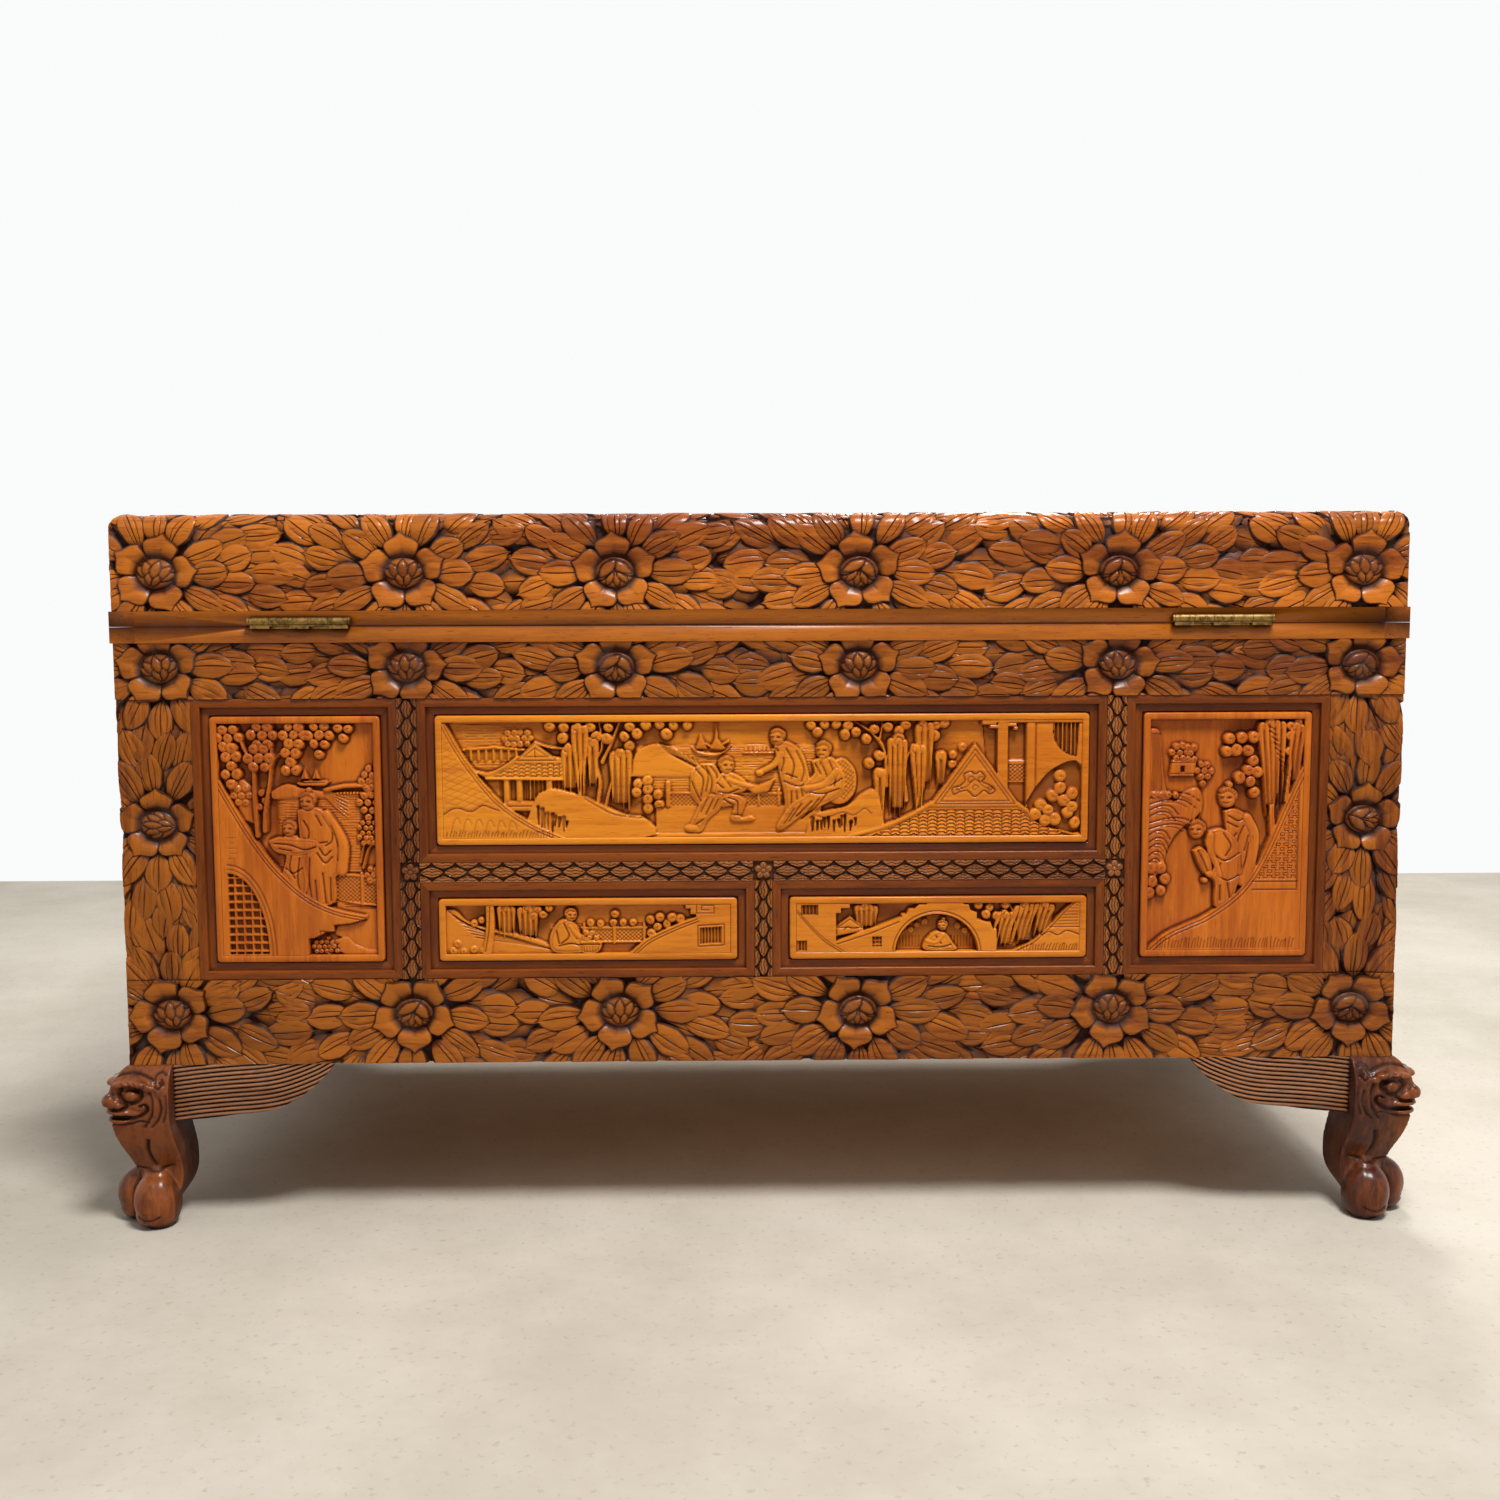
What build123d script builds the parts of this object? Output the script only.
from build123d import *
import math
import os

# Carved camphor-wood chest on beast-mask legs, with a hinged lid and a box lock.
# Millimetres. X runs along the length, Z is up, and the hinged back faces -Y.
# The origin is on the floor under the middle of the chest.
# Left and right are as seen by someone who stands in front of that side of the chest.
# Each wall is drawn as a back wall first, and then turned about Z to its own side.

# Overall sizes
body_length = 1020.0
body_depth = 500.0
body_height = 349.5
leg_height = 132.0
lid_height = 88.2
lid_gap = 0.3
board = 20.0

# Body framework
top_rail_height = 44.0
bottom_rail_height = 68.5
rim_height = 12.5
post_width = 60.0
frame_inset = 1.5
muntin_width = 15.5
muntin_centre = 280.7
mid_rail_height = 15.5
lower_panel_height = 78.0
lower_muntin_width = 14.0
bottom_thickness = 12.0

# Grooves, tongues and stub tenons, measured from the outer face of a wall
groove_depth = 5.0
groove_clearance = 0.3
tongue_front = 8.0
tongue_thickness = 9.0
tenon_stop = 25.0

# Panels and the stepped mouldings round them
moulding_front = 2.0
moulding_band = 7.0
moulding_step_front = 5.5
moulding_step = 6.5
panel_clearance = 0.5
panel_front = 2.5
panel_rim = 5.5
panel_ground = 7.0
panel_corner = 3.0

# Carved flowers, each a bud in a round hollow
flower_hollow_radius = 17.5
flower_hollow_depth = 5.0
bud_radius = 13.5
bud_height = 4.5

# Carved leaves, in rings round each flower, and the ground that is cut away between them
petal_reach = 30.0
leaf_length = 28.0
leaf_width = 16.5
leaf_gap = 2.4
leaf_ring_count = 3
leaf_relief = 3.5
carving_margin = 2.0
corner_flower_inset = 36.0
middle_flower_left = 115.5
middle_flower_right = 76.0
top_flower_drop = 20.0
bottom_flower_rise = 40.0
post_flower_drop = 100.0

# Lid
lid_rim_height = 12.0
lid_top_thickness = 20.0
lid_edge_radius = 14.0
lid_panel_length = 740.0
lid_panel_depth = 260.0
lid_panel_slab = 5.0
lid_side_flower_inset = 66.0
lid_end_flower_inset = 77.0

# Legs. The outer reach is how far the sawn face stands out from the body's corner, and the inset is how
# far the back of the leg lies inside it. The mask is set out down from the top, the foot up from the floor.
brow_reach = 9.0
head_reach = 12.0
leg_sole = 3.0
leg_heel = 23.0
mask_drops = (11.0, 25.0, 37.0, 45.0)
mask_reach = (brow_reach, head_reach, 11.5, 10.5)
shank_reach = 5.0
shank_inset = 38.5
foot_heights = (46.0, 34.0, 16.0)
foot_reach = (-2.5, -3.0, -leg_sole)
heel_heights = (51.0, 40.0, 29.0, 16.0)
heel_inset = (40.5, 40.5, 38.5, 31.0)
leg_head_width = 36.0
leg_head_height = 48.0
toe_length = 18.0
toe_width = 16.5
toe_rise = 24.0
toe_centre_height = 19.0
toe_spread = 22.0
toe_set_back = 1.0
eye_radius = 4.5
eye_drop = 19.0
eye_inset = 6.0
brow_length = 12.0
brow_thickness = 3.0
brow_drop = 11.5
brow_sink = 1.0
snout_radius = 7.0
snout_drop = 26.0
snout_reach = 10.0
mouth_drop = 39.0
mouth_gap = 1.6
mouth_depth = 2.5
mouth_length = 24.0

# Ribbed knee brackets beside each leg
bracket_length = 130.0
bracket_height = 47.0
bracket_thickness = 18.0
bracket_inset = 1.0
bracket_curve = ((1.0, 0.0), (0.86, 0.42), (0.64, 0.78), (0.35, 0.90), (0.0, 1.0))  # shares of length and height
reed_count = 13
reed_gap = 1.0
reed_depth = 1.4

# Screws that hold the legs, driven down through the bottom board
leg_screw_radius = 3.0
leg_screw_head_radius = 5.5
leg_screw_length = 48.0
leg_screw_inset = 28.0
screw_play = 0.05

# Butt hinges
hinge_centre = 361.0
hinge_length = 76.0
knuckle_count = 5
knuckle_gap = 0.3
barrel_radius = 3.15
barrel_standoff = 3.5
barrel_rise = 4.2
pin_radius = 1.5
pin_play = 0.05
pin_button = 1.5
leaf_thickness = 1.5
leaf_width = 18.0
leaf_screw_radius = 1.2
leaf_screw_head_radius = 2.4
leaf_screw_length = 10.5
leaf_screw_count = 3
leaf_screw_end = 10.0

# Box lock in the middle of the front, with its strike on the lid and its keyhole plate
lock_width = 64.0
lock_plate_width = 82.0
lock_height = 40.0
lock_depth = 14.0
lock_wall = 2.0
lock_screw_radius = 1.0
lock_screw_head_radius = 1.8
lock_screw_length = 10.0
lock_screw_inset = 4.5
hook_spread = 28.0
hook_thickness = 2.5
hook_width = 7.0
hook_drop = 14.0
hook_eye_width = 4.6
hook_eye_height = 6.0
hook_eye_floor = 3.0
hook_slot_play = 1.0
bolt_play = 0.3
bolt_bar_height = 5.0
bolt_bar_gap = 1.8
bolt_prong_length = 7.0
bolt_prong_gap = 1.0
bolt_prong_height = 3.4
bolt_prong_width = 3.0
bolt_post_width = 3.0
talon_radius = 2.0
strike_length = 60.0
strike_thickness = 2.0
keyhole_radius = 2.6
keyhole_slot_width = 3.0
keyhole_slot_drop = 10.0
keyhole_drop = 27.0
escutcheon_width = 22.0
escutcheon_height = 34.0
escutcheon_thickness = 1.4

# Heights and places that follow from the sizes above
half_length = body_length / 2
half_depth = body_depth / 2
inner_half_length = half_length - board
inner_half_depth = half_depth - board
body_top = leg_height + body_height
rail_top = body_top - rim_height
opening_top = rail_top - top_rail_height
opening_bottom = leg_height + bottom_rail_height
lower_panel_top = opening_bottom + lower_panel_height
upper_panel_bottom = lower_panel_top + mid_rail_height
bottom_board_top = leg_height + bottom_thickness
tongue_back = tongue_front + tongue_thickness
tongue_length = groove_depth - groove_clearance
muntin_inner = muntin_centre - muntin_width / 2
muntin_outer = muntin_centre + muntin_width / 2
post_inner = half_length - post_width
end_post_inner = half_depth - post_width
lid_bottom = body_top + lid_gap
lid_top = lid_bottom + lid_height
lid_board_bottom = lid_bottom + lid_rim_height
lid_board_top = lid_top - lid_top_thickness
hinge_axis_y = -half_depth - barrel_standoff
hinge_axis_z = body_top + barrel_rise
knuckle_length = (hinge_length - knuckle_gap * (knuckle_count - 1)) / knuckle_count
lock_middle_y = inner_half_depth + lock_depth / 2
lock_bottom = body_top - lock_height
hook_bottom = lid_bottom - hook_drop
keyhole_height = body_top - keyhole_drop
flower_row = (
    -(half_length - corner_flower_inset),
    -muntin_centre,
    -middle_flower_left,
    middle_flower_right,
    muntin_centre,
    half_length - corner_flower_inset,
)
end_flower_row = (-(half_depth - corner_flower_inset), 0.0, half_depth - corner_flower_inset)

parts = {}


def block(x0, x1, y0, y1, z0, z1):
    return Pos((x0 + x1) / 2, (y0 + y1) / 2, (z0 + z1) / 2) * Box(x1 - x0, y1 - y0, z1 - z0)


def wall_block(face, u0, u1, z0, z1, near, far):
    # A box in the wall whose outer face is at y = -face, from near to far behind that face.
    return block(u0, u1, near - face, far - face, z0, z1)


def rounded_wall_block(face, u0, u1, z0, z1, near, far, radius):
    shape = wall_block(face, u0, u1, z0, z1, near, far)
    return fillet(shape.edges().filter_by(Axis.Y), radius)


def to_front(shape):
    return Rot(0, 0, 180) * shape


def to_left_end(shape):
    return Rot(0, 0, -90) * shape


def to_right_end(shape):
    return Rot(0, 0, 90) * shape


def to_lid_top(shape):
    return Rot(-90, 0, 0) * shape


def group(solids):
    return Compound(children=list(solids))


# Rails, posts and muntins

def with_flowers(shape, face, places):
    # Cuts a round hollow at each place and stands a domed bud in it.
    ball_radius = (bud_radius**2 + bud_height**2) / (2 * bud_height)
    for u, z in places:
        front = Pos(u, -face, z) * Rot(90, 0, 0)
        ball = Pos(0, 0, bud_height - flower_hollow_depth - ball_radius) * Sphere(ball_radius)
        hollow = Pos(0, 0, -flower_hollow_depth / 2) * Cylinder(flower_hollow_radius, flower_hollow_depth)
        shape = shape - front * (hollow - ball)
    return shape


def leaf_places(flowers, region):
    # Rings of leaves round each flower, tips outwards, up to where they meet those of the next flower.
    u0, u1, v0, v1 = region
    places = []
    for flower in flowers:
        others = [other for other in flowers if other != flower]
        for ring in range(leaf_ring_count):
            radius = petal_reach + leaf_gap + leaf_length / 2 + ring * (leaf_length + leaf_gap)
            count = round(2 * math.pi * radius / (leaf_width + leaf_gap))
            for k in range(count):
                angle = 360 * (k + ring % 2 / 2) / count
                u = flower[0] + radius * math.cos(math.radians(angle))
                v = flower[1] + radius * math.sin(math.radians(angle))
                nearest_other = min((math.dist((u, v), other) for other in others), default=math.inf)
                if u0 < u < u1 and v0 < v < v1 and radius + leaf_length / 2 <= nearest_other:
                    places.append((u, v, angle))
    return places


def leaf_outline():
    base, tip = (-leaf_length / 2, 0), (leaf_length / 2, 0)
    edges = [ThreePointArc(base, (0, leaf_width / 2), tip), ThreePointArc(tip, (0, -leaf_width / 2), base)]
    return make_face(edges)


def sunk_ground(face, flowers, region):
    # What is cut away between the leaves and petals of one face, inside a narrow plain margin.
    u0, u1, v0, v1 = region
    ground = Pos((u0 + u1) / 2, (v0 + v1) / 2) * Rectangle(u1 - u0 - 2 * carving_margin, v1 - v0 - 2 * carving_margin)
    ground -= [Pos(u, v) * Circle(petal_reach) for u, v in flowers]
    ground -= [Pos(u, v) * Rot(0, 0, angle) * leaf_outline() for u, v, angle in leaf_places(flowers, region)]
    return Pos(0, -face, 0) * Rot(90, 0, 0) * extrude(ground, -leaf_relief)


def carved(shape, face, flowers, region):
    return with_flowers(shape, face, flowers) - sunk_ground(face, flowers, region)


def rail(face, half_span, groove_reach, z0, z1, groove_z0, places):
    # A full-thickness rail with one groove, stopped short of the corners.
    shape = wall_block(face, -half_span, half_span, z0, z1, 0, board)
    shape -= wall_block(face, -groove_reach, groove_reach, groove_z0, groove_z0 + groove_depth,
                        tongue_front, tongue_back)
    return carved(shape, face, places, (-half_span, half_span, z0, z1))


def upright(face, u0, u1, z0, z1, tenon_u0, tenon_u1, grooves):
    # A post or muntin with a stub tenon at each end and a groove starting at each u in grooves.
    shape = wall_block(face, u0, u1, z0, z1, frame_inset, board)
    shape += wall_block(face, tenon_u0, tenon_u1, z0 - tongue_length, z1 + tongue_length,
                        tongue_front, tongue_back)
    for groove_u0 in grooves:
        shape -= wall_block(face, groove_u0, groove_u0 + groove_depth, z0 - groove_depth, z1 + groove_depth,
                            tongue_front, tongue_back)
    return shape


def corner_post(mirrored):
    # An L of two glued stiles at the left corner of the back wall, or its mirror image.
    back_stile = upright(half_depth, -(half_length - frame_inset), -post_inner, opening_bottom, opening_top,
                         -(half_length - tenon_stop), -post_inner, [-post_inner - groove_depth])
    end_stile = upright(half_length, end_post_inner, half_depth - frame_inset, opening_bottom, opening_top,
                        end_post_inner, half_depth - tenon_stop, [end_post_inner])
    flower_height = opening_top - post_flower_drop
    back_stile = carved(back_stile, half_depth - frame_inset, [(-post_inner - post_width / 2, flower_height)],
                        (-(half_length - frame_inset), -post_inner, opening_bottom, opening_top))
    end_stile = carved(end_stile, half_length - frame_inset, [(end_post_inner + post_width / 2, flower_height)],
                       (end_post_inner, half_depth - frame_inset, opening_bottom, opening_top))
    post = back_stile + to_left_end(end_stile)
    return mirror(post, about=Plane.YZ) if mirrored else post


def muntin(side):
    u0 = muntin_inner if side > 0 else -muntin_outer
    u1 = u0 + muntin_width
    return upright(half_depth, u0, u1, opening_bottom, opening_top, u0, u1, [u0, u1 - groove_depth])


def lower_muntin():
    u1 = lower_muntin_width / 2
    return upright(half_depth, -u1, u1, opening_bottom, lower_panel_top, -u1, u1, [-u1, u1 - groove_depth])


def mid_rail():
    # Tenoned into both muntins, and grooved above and below for the panels.
    tenon_end = muntin_inner + tongue_length
    shape = wall_block(half_depth, -muntin_inner, muntin_inner, lower_panel_top, upper_panel_bottom,
                       frame_inset, board)
    shape += wall_block(half_depth, -tenon_end, tenon_end, lower_panel_top, upper_panel_bottom,
                        tongue_front, tongue_back)
    groove_end = muntin_inner + groove_depth
    for z0 in (lower_panel_top, upper_panel_bottom - groove_depth):
        shape -= wall_block(half_depth, -groove_end, groove_end, z0, z0 + groove_depth, tongue_front, tongue_back)
    return shape


# Panels and their mouldings

def panel(face, u0, u1, z0, z1, tongue, slab):
    # A slab with tongues, and a raised round-cornered rim about the sunk ground of the carving.
    edge = moulding_band + moulding_step + panel_clearance
    inner = edge + panel_rim
    shape = wall_block(face, u0 - tongue, u1 + tongue, z0 - tongue, z1 + tongue,
                       tongue_front, tongue_front + slab)
    shape += rounded_wall_block(face, u0 + edge, u1 - edge, z0 + edge, z1 - edge,
                                panel_front, tongue_front, panel_corner)
    shape -= rounded_wall_block(face, u0 + inner, u1 - inner, z0 + inner, z1 - inner,
                                panel_front, panel_ground, panel_corner / 2)
    return shape


def moulding(face, u0, u1, z0, z1):
    # A two-step frame that lies on the panel's margin, against the edges of the opening.
    step = moulding_band
    inner = moulding_band + moulding_step
    shape = wall_block(face, u0, u1, z0, z1, moulding_front, tongue_front)
    shape -= wall_block(face, u0 + step, u1 - step, z0 + step, z1 - step, moulding_front, moulding_step_front)
    shape -= wall_block(face, u0 + inner, u1 - inner, z0 + inner, z1 - inner, moulding_front, tongue_front)
    return shape


wall_openings = {
    "left_panel": (-post_inner, -muntin_outer, opening_bottom, opening_top),
    "right_panel": (muntin_outer, post_inner, opening_bottom, opening_top),
    "centre_panel": (-muntin_inner, muntin_inner, upper_panel_bottom, opening_top),
    "lower_left_panel": (-muntin_inner, -lower_muntin_width / 2, opening_bottom, lower_panel_top),
    "lower_right_panel": (lower_muntin_width / 2, muntin_inner, opening_bottom, lower_panel_top),
}
end_opening = (-end_post_inner, end_post_inner, opening_bottom, opening_top)
lid_opening = (-lid_panel_length / 2, lid_panel_length / 2, -lid_panel_depth / 2, lid_panel_depth / 2)


def long_wall(name, place):
    # The framework and panels of the back, or of the front when place turns them round.
    top_places = [(u, rail_top - top_flower_drop) for u in flower_row]
    bottom_places = [(u, leg_height + bottom_flower_rise) for u in flower_row]
    groove_reach = half_length - tenon_stop
    parts[name + "_top_rail"] = place(
        rail(half_depth, half_length, groove_reach, opening_top, rail_top, opening_top, top_places))
    parts[name + "_bottom_rail"] = place(
        rail(half_depth, half_length, groove_reach, leg_height, opening_bottom, opening_bottom - groove_depth,
             bottom_places))
    parts[name + "_left_corner_post"] = place(corner_post(False))
    parts[name + "_right_corner_post"] = place(corner_post(True))
    parts[name + "_left_muntin"] = place(muntin(-1))
    parts[name + "_right_muntin"] = place(muntin(1))
    parts[name + "_mid_rail"] = place(mid_rail())
    parts[name + "_lower_muntin"] = place(lower_muntin())
    for panel_name, opening in wall_openings.items():
        parts[name + "_" + panel_name] = place(panel(half_depth, *opening, tongue_length, tongue_thickness))


def end_wall(name, place):
    top_places = [(u, rail_top - top_flower_drop) for u in end_flower_row]
    bottom_places = [(u, leg_height + bottom_flower_rise) for u in end_flower_row]
    groove_reach = half_depth - tenon_stop
    parts[name + "_top_rail"] = place(
        rail(half_length, inner_half_depth, groove_reach, opening_top, rail_top, opening_top, top_places))
    parts[name + "_bottom_rail"] = place(
        rail(half_length, inner_half_depth, groove_reach, leg_height, opening_bottom,
             opening_bottom - groove_depth, bottom_places))
    parts[name + "_panel"] = place(panel(half_length, *end_opening, tongue_length, tongue_thickness))


def all_panel_mouldings():
    long_rings = [moulding(half_depth, *opening) for opening in wall_openings.values()]
    end_ring = moulding(half_length, *end_opening)
    rings = list(long_rings)
    rings += [to_front(ring) for ring in long_rings]
    rings += [to_left_end(end_ring), to_right_end(end_ring)]
    return group(rings)


def rim_strips(z0, z1):
    # The end strips run the full depth, and the long strips butt between them.
    long_strip = wall_block(half_depth, -inner_half_length, inner_half_length, z0, z1, 0, board)
    end_strip = wall_block(half_length, -half_depth, half_depth, z0, z1, 0, board)
    return {
        "back": long_strip,
        "front": to_front(long_strip),
        "left_end": to_left_end(end_strip),
        "right_end": to_right_end(end_strip),
    }


# Screws

def screw(head_radius, shank_radius, length):
    # A countersunk screw that points down, with the top of its head at the origin.
    head_depth = head_radius - shank_radius
    head = Pos(0, 0, -head_depth / 2) * Cone(shank_radius, head_radius, head_depth)
    shank = Pos(0, 0, -(head_depth + length) / 2) * Cylinder(shank_radius, length - head_depth)
    return head + shank


def screw_and_hole(head_radius, shank_radius, length):
    hole = screw(head_radius + screw_play, shank_radius + screw_play, length + screw_play)
    return screw(head_radius, shank_radius, length), hole


# Legs and brackets

def leg_profile():
    # One sawn face of the cabriole leg: the first coordinate is the distance inwards from the corner.
    outer = [(0.0, leg_height)]
    outer += [(-reach, leg_height - drop) for drop, reach in zip(mask_drops, mask_reach)]
    outer += [(-shank_reach, (leg_height - mask_drops[-1] + foot_heights[0]) / 2)]
    outer += [(-reach, height) for height, reach in zip(foot_heights, foot_reach)]
    head_base = leg_height - leg_head_height
    inner = [(leg_heel, 0.0)]
    inner += [(inset, height) for height, inset in zip(reversed(heel_heights), reversed(heel_inset))]
    inner += [(shank_inset, (head_base + heel_heights[0]) / 2), (leg_head_width, head_base)]
    foot_front = (leg_sole, 0.0)
    edges = [
        Spline(*outer),
        Line(outer[-1], foot_front),
        Line(foot_front, inner[0]),
        Spline(*inner),
        Line(inner[-1], (leg_head_width, leg_height)),
        Line((leg_head_width, leg_height), outer[0]),
    ]
    return make_face(edges)


def ellipsoid(x, y, z, radius_x, radius_y, radius_z):
    return Pos(x, y, z) * scale(Sphere(1), (radius_x, radius_y, radius_z))


def leg():
    # The corner of the body is at x = y = 0 here, and the body lies towards +X and +Y.
    # Two sawn faces meet at the corner, and each carries half of the mask and one toe.
    reach = leg_head_width + leg_heel
    profile = leg_profile()
    shape = extrude(Plane.XZ * profile, reach, both=True) & extrude(Plane.YZ * profile, reach, both=True)
    shape += ellipsoid(toe_spread, toe_set_back, toe_centre_height, toe_width, toe_length, toe_rise)
    shape += ellipsoid(toe_set_back, toe_spread, toe_centre_height, toe_length, toe_width, toe_rise)
    shape -= block(-reach, reach, -reach, reach, -leg_height, 0)
    shape += Pos(-snout_reach, -snout_reach, leg_height - snout_drop) * Sphere(snout_radius)
    eye_height = leg_height - eye_drop
    shape += ellipsoid(eye_inset, -head_reach, eye_height, eye_radius, eye_radius / 2, eye_radius)
    shape += ellipsoid(-head_reach, eye_inset, eye_height, eye_radius / 2, eye_radius, eye_radius)
    brow_face = brow_sink - brow_reach
    brow_height = leg_height - brow_drop
    shape += ellipsoid(eye_inset, brow_face, brow_height, brow_length, brow_thickness, brow_thickness)
    shape += ellipsoid(brow_face, eye_inset, brow_height, brow_thickness, brow_length, brow_thickness)
    mouth_face = mouth_depth - head_reach
    mouth_end = mouth_length - head_reach
    mouth_bottom = leg_height - mouth_drop
    mouth_top = mouth_bottom + mouth_gap
    mouth = block(-reach, mouth_end, -reach, mouth_face, mouth_bottom, mouth_top)
    mouth += block(-reach, mouth_face, -reach, mouth_end, mouth_bottom, mouth_top)
    return shape - mouth


def placed_leg(shape, x, y, angle):
    return Pos(x, y, 0) * Rot(0, 0, angle) * shape


def knee_bracket():
    # Starts at the leg's head at x = 0 and runs towards +X under the bottom rail, with its face at y = 0.
    curve = [(along * bracket_length, -down * bracket_height) for along, down in bracket_curve]
    outline = make_face([Spline(*curve), Line(curve[-1], (0, 0)), Line((0, 0), curve[0])])
    shape = extrude(Plane.XZ * outline, -bracket_thickness)
    pitch = bracket_height / reed_count
    for i in range(1, reed_count):
        groove = block(0, bracket_length, 0, reed_depth, -i * pitch - reed_gap / 2, -i * pitch + reed_gap / 2)
        shape -= groove
    return shape


def wall_brackets(face, half_span):
    # The two brackets of one wall, at its left and right legs.
    start = half_span - leg_head_width
    left = Pos(-start, bracket_inset - face, leg_height) * knee_bracket()
    return [left, mirror(left, about=Plane.YZ)]


def make_legs():
    leg_screw, hole = screw_and_hole(leg_screw_head_radius, leg_screw_radius, leg_screw_length)
    shape = leg() - Pos(leg_screw_inset, leg_screw_inset, bottom_board_top) * hole
    places = {
        "back_left_leg": (-half_length, -half_depth, 0),
        "back_right_leg": (half_length, -half_depth, 90),
        "front_left_leg": (half_length, half_depth, 180),
        "front_right_leg": (-half_length, half_depth, 270),
    }
    for name, (x, y, angle) in places.items():
        parts[name] = placed_leg(shape, x, y, angle)
    brackets = wall_brackets(half_depth, half_length)
    brackets += [to_front(bracket) for bracket in brackets]
    end_brackets = wall_brackets(half_length, half_depth)
    brackets += [to_left_end(bracket) for bracket in end_brackets]
    brackets += [to_right_end(bracket) for bracket in end_brackets]
    parts["knee_brackets"] = group(brackets)
    bottom = block(-inner_half_length, inner_half_length, -inner_half_depth, inner_half_depth,
                   leg_height, bottom_board_top)
    screws = []
    for x, y, angle in places.values():
        seat = Pos(x, y, 0) * Rot(0, 0, angle) * Pos(leg_screw_inset, leg_screw_inset, bottom_board_top)
        screws.append(seat * leg_screw)
        bottom -= seat * hole
    parts["bottom_board"] = bottom
    parts["leg_screws"] = group(screws)


# Hinges

def barrel_piece(first, leaf_top, leaf_bottom):
    # Every second knuckle from first, each with a web that joins it to a leaf outside the back face.
    shapes = []
    for i in range(first, knuckle_count, 2):
        x0 = -hinge_length / 2 + i * (knuckle_length + knuckle_gap)
        x1 = x0 + knuckle_length
        half_web = leaf_thickness / 2
        roll = Pos((x0 + x1) / 2, hinge_axis_y, hinge_axis_z) * Rot(0, 90, 0) * Cylinder(barrel_radius, knuckle_length)
        foot = block(x0, x1, hinge_axis_y - half_web, -half_depth, leaf_bottom, leaf_top)
        stem = block(x0, x1, hinge_axis_y - half_web, hinge_axis_y + half_web, leaf_bottom, hinge_axis_z)
        shapes.append(roll + foot + stem)
    return shapes


def leaf_blank(z0, z1):
    return block(-hinge_length / 2, hinge_length / 2, -half_depth, -half_depth + leaf_width, z0, z1)


def hinge_leaf(first, z0, z1):
    shape = leaf_blank(z0, z1)
    for knuckle in barrel_piece(first, z1, z0):
        shape += knuckle
    bore = Pos(0, hinge_axis_y, hinge_axis_z) * Rot(0, 90, 0) * Cylinder(pin_radius + pin_play, hinge_length)
    return shape - bore


def hinge_pin():
    # A plain pin with a flat button at each end of the barrel.
    axis = Pos(0, hinge_axis_y, hinge_axis_z) * Rot(0, 90, 0)
    shape = axis * Cylinder(pin_radius, hinge_length + 2 * knuckle_gap)
    for end in (-1, 1):
        offset = end * (hinge_length / 2 + knuckle_gap + pin_button / 2)
        shape += axis * Pos(0, 0, offset) * Cylinder(barrel_radius, pin_button)
    return shape


def leaf_screw_seats():
    span = hinge_length - 2 * leaf_screw_end
    pitch = span / (leaf_screw_count - 1)
    return [(-span / 2 + i * pitch, -half_depth + leaf_width / 2) for i in range(leaf_screw_count)]


def make_hinges(body_rims, lid_rims):
    # Leaves are let in flush. The body's leaf has three knuckles and the lid's leaf has two.
    one_screw, hole = screw_and_hole(leaf_screw_head_radius, leaf_screw_radius, leaf_screw_length)
    body_leaf = hinge_leaf(0, body_top - leaf_thickness, body_top)
    lid_leaf = hinge_leaf(1, lid_bottom, lid_bottom + leaf_thickness)
    body_screws = []
    lid_screws = []
    for x, y in leaf_screw_seats():
        down = Pos(x, y, body_top)
        up = Pos(x, y, lid_bottom) * Rot(180, 0, 0)
        body_leaf -= down * hole
        lid_leaf -= up * hole
        body_rims["back"] -= Pos(-hinge_centre, 0, 0) * down * hole
        body_rims["back"] -= Pos(hinge_centre, 0, 0) * down * hole
        lid_rims["back"] -= Pos(-hinge_centre, 0, 0) * up * hole
        lid_rims["back"] -= Pos(hinge_centre, 0, 0) * up * hole
        body_screws.append(down * one_screw)
        lid_screws.append(up * one_screw)
    ends = (Pos(-hinge_centre, 0, 0), Pos(hinge_centre, 0, 0))
    for end in ends:
        body_rims["back"] -= end * leaf_blank(body_top - leaf_thickness, body_top)
        lid_rims["back"] -= end * leaf_blank(lid_bottom, lid_bottom + leaf_thickness)
    parts["hinge_body_leaves"] = group([end * body_leaf for end in ends])
    parts["hinge_lid_leaves"] = group([end * lid_leaf for end in ends])
    parts["hinge_pins"] = group([end * hinge_pin() for end in ends])
    parts["hinge_body_screws"] = group([end * shape for end in ends for shape in body_screws])
    parts["hinge_lid_screws"] = group([end * shape for end in ends for shape in lid_screws])


# Lock

def keyhole(y0, y1, play):
    radius = keyhole_radius + play
    half_slot = keyhole_slot_width / 2 + play
    hole = Pos(0, (y0 + y1) / 2, keyhole_height) * Rot(90, 0, 0) * Cylinder(radius, y1 - y0)
    slot = block(-half_slot, half_slot, y0, y1, keyhole_height - keyhole_slot_drop - play, keyhole_height)
    return hole + slot


def lock_envelope():
    plate = block(-lock_plate_width / 2, lock_plate_width / 2, inner_half_depth, inner_half_depth + lock_wall,
                  lock_bottom, body_top)
    box = block(-lock_width / 2, lock_width / 2, inner_half_depth, inner_half_depth + lock_depth,
                lock_bottom, body_top)
    return plate + box


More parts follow.
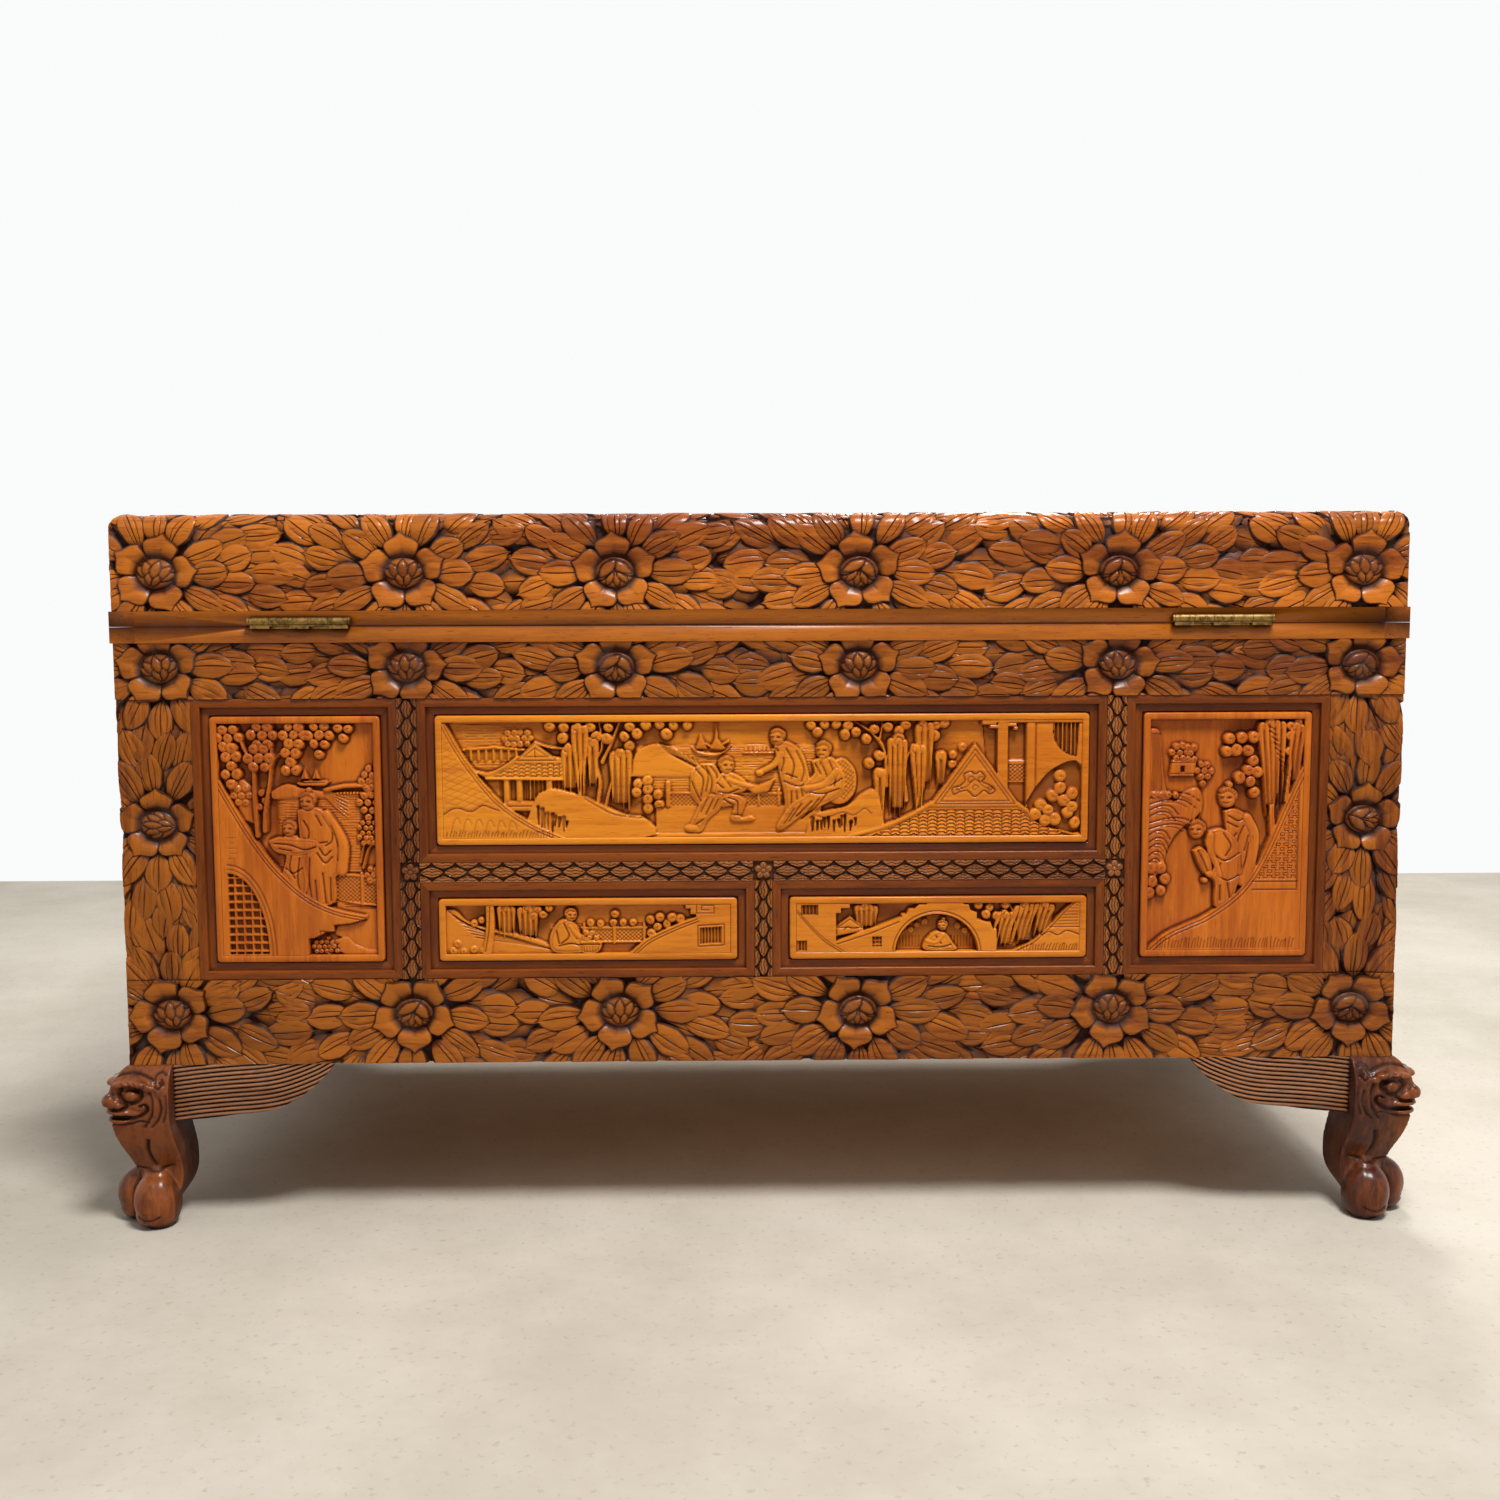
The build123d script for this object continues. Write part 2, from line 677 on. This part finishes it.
def lock_screw_seats():
    x = lock_plate_width / 2 - lock_screw_inset
    heights = (lock_bottom + lock_screw_inset, body_top - rim_height - lock_screw_inset)
    return [Pos(side * x, inner_half_depth, z) * Rot(-90, 0, 0) * Rot(180, 0, 0) for side in (-1, 1) for z in heights]


def hook(x):
    # A strike hook that hangs from the lid, with a square eye for the bolt's prong.
    half_width = hook_width / 2
    half_eye = hook_eye_width / 2
    shape = block(x - hook_thickness / 2, x + hook_thickness / 2, lock_middle_y - half_width,
                  lock_middle_y + half_width, hook_bottom, lid_bottom)
    eye_bottom = hook_bottom + hook_eye_floor
    return shape - block(x - hook_thickness, x + hook_thickness, lock_middle_y - half_eye,
                         lock_middle_y + half_eye, eye_bottom, eye_bottom + hook_eye_height)


def lock_case(hook_places):
    cavity_y0 = inner_half_depth + lock_wall
    cavity_y1 = inner_half_depth + lock_depth - lock_wall
    shape = lock_envelope()
    shape -= block(-lock_width / 2 + lock_wall, lock_width / 2 - lock_wall, cavity_y0, cavity_y1,
                   lock_bottom + lock_wall, body_top - lock_wall)
    for x in hook_places:
        half_slot = hook_thickness / 2 + hook_slot_play
        shape -= block(x - half_slot, x + half_slot, cavity_y0, cavity_y1, body_top - lock_wall, body_top)
    return shape - keyhole(cavity_y1, inner_half_depth + lock_depth, 0)


def lock_bolt(hook_places):
    # A bar below the hooks with two prongs that stop just short of the hook eyes when unlocked.
    half_depth_of_bar = lock_depth / 2 - lock_wall - bolt_play
    bar_top = hook_bottom - bolt_bar_gap
    prong_bottom = hook_bottom + hook_eye_floor + (hook_eye_height - bolt_prong_height) / 2
    first_tip = hook_places[0] - hook_thickness / 2 - bolt_prong_gap
    last_tip = hook_places[-1] - hook_thickness / 2 - bolt_prong_gap
    bar_x0 = first_tip - bolt_prong_length - bolt_post_width
    bar_x1 = last_tip - bolt_prong_length
    shape = block(bar_x0, bar_x1, lock_middle_y - half_depth_of_bar, lock_middle_y + half_depth_of_bar,
                  bar_top - bolt_bar_height, bar_top)
    half_prong = bolt_prong_width / 2
    for tip in (first_tip, last_tip):
        post_x1 = tip - bolt_prong_length
        shape += block(post_x1 - bolt_post_width, post_x1, lock_middle_y - half_prong, lock_middle_y + half_prong,
                       bar_top, prong_bottom + bolt_prong_height)
        shape += block(post_x1, tip, lock_middle_y - half_prong, lock_middle_y + half_prong,
                       prong_bottom, prong_bottom + bolt_prong_height)
    talon = Pos((bar_x0 + bar_x1) / 2, lock_middle_y, bar_top - bolt_bar_height) * Rot(90, 0, 0)
    return shape - talon * Cylinder(talon_radius, lock_depth)


def strike_plate(hook_places):
    half_strike = strike_length / 2
    half_plate_width = lock_depth / 2
    shape = block(-half_strike, half_strike, lock_middle_y - half_plate_width, lock_middle_y + half_plate_width,
                  lid_bottom, lid_bottom + strike_thickness)
    for x in hook_places:
        shape += hook(x)
    return shape


def escutcheon():
    outline = Ellipse(escutcheon_width / 2, escutcheon_height / 2)
    middle = keyhole_height - keyhole_slot_drop / 2
    plate = Pos(0, half_depth + escutcheon_thickness, middle) * extrude(
        Plane.XZ * outline, escutcheon_thickness)
    return plate - keyhole(half_depth, half_depth + escutcheon_thickness, 0)


def make_lock(body_rims, lid_rims):
    hook_places = (-hook_spread / 2, hook_spread / 2)
    one_screw, hole = screw_and_hole(lock_screw_head_radius, lock_screw_radius, lock_screw_length)
    case = lock_case(hook_places)
    front_rail = parts["front_top_rail"] - lock_envelope()
    front_rail -= keyhole(inner_half_depth + lock_depth, half_depth, 0)
    screws = []
    for seat in lock_screw_seats():
        case -= seat * hole
        front_rail -= seat * hole
        screws.append(seat * one_screw)
    body_rims["front"] -= lock_envelope()
    lid_rims["front"] -= strike_plate(())
    parts["front_top_rail"] = front_rail
    parts["lock_case"] = case
    parts["lock_screws"] = group(screws)
    parts["lock_bolt"] = lock_bolt(hook_places)
    parts["lock_strike_plate"] = strike_plate(hook_places)
    parts["lock_escutcheon"] = escutcheon()


# Lid

def carved_top(top):
    # The lid's border: a row of flowers along each side and one at the middle of each end.
    u0, u1, v0, v1 = lid_opening
    flat_length = half_length - lid_edge_radius
    flat_depth = half_depth - lid_edge_radius
    end_flower = half_length - lid_end_flower_inset
    side_flower = half_depth - lid_side_flower_inset
    row = [-end_flower, *flower_row[1:-1], end_flower]
    flowers = [(u, v) for u in row for v in (-side_flower, side_flower)]
    flowers += [(-end_flower, 0.0), (end_flower, 0.0)]
    ground = sunk_ground(lid_top, flowers, (-flat_length, flat_length, -flat_depth, flat_depth))
    ground -= wall_block(lid_top, u0 - carving_margin, u1 + carving_margin, v0 - carving_margin,
                         v1 + carving_margin, 0, leaf_relief)
    top -= to_lid_top(wall_block(lid_top, u0, u1, v0, v1, 0, tongue_front + lid_panel_slab))
    top = Rot(90, 0, 0) * top
    return to_lid_top(with_flowers(top, lid_top, flowers) - ground)


def make_lid():
    lid_flower_z = (lid_board_bottom + lid_board_top) / 2
    long_board = wall_block(half_depth, -half_length, half_length, lid_board_bottom, lid_board_top, 0, board)
    long_board = carved(long_board, half_depth, [(u, lid_flower_z) for u in flower_row],
                        (-half_length, half_length, lid_board_bottom, lid_board_top))
    end_board = wall_block(half_length, -inner_half_depth, inner_half_depth, lid_board_bottom, lid_board_top,
                           0, board)
    end_board = carved(end_board, half_length, [(u, lid_flower_z) for u in end_flower_row],
                       (-inner_half_depth, inner_half_depth, lid_board_bottom, lid_board_top))
    parts["lid_back_board"] = long_board
    parts["lid_front_board"] = to_front(long_board)
    parts["lid_left_end_board"] = to_left_end(end_board)
    parts["lid_right_end_board"] = to_right_end(end_board)
    top = block(-half_length, half_length, -half_depth, half_depth, lid_board_top, lid_top)
    top = fillet(top.faces().sort_by(Axis.Z)[-1].edges(), min(lid_edge_radius, lid_top_thickness - 1))
    parts["lid_top_board"] = carved_top(top)
    parts["lid_top_panel"] = to_lid_top(panel(lid_top, *lid_opening, 0, lid_panel_slab))
    parts["lid_top_moulding"] = to_lid_top(moulding(lid_top, *lid_opening))


long_wall("back", lambda shape: shape)
long_wall("front", to_front)
end_wall("left_end", to_left_end)
end_wall("right_end", to_right_end)
parts["panel_mouldings"] = all_panel_mouldings()
make_legs()
make_lid()
body_rim_strips = rim_strips(rail_top, body_top)
lid_rim_strips = rim_strips(lid_bottom, lid_board_bottom)
make_hinges(body_rim_strips, lid_rim_strips)
make_lock(body_rim_strips, lid_rim_strips)
parts["body_rim_moulding"] = group(body_rim_strips.values())
parts["lid_rim_moulding"] = group(lid_rim_strips.values())

os.makedirs("parts", exist_ok=True)
for node, shape in parts.items():
    export_step(shape, f"parts/{node}.step")
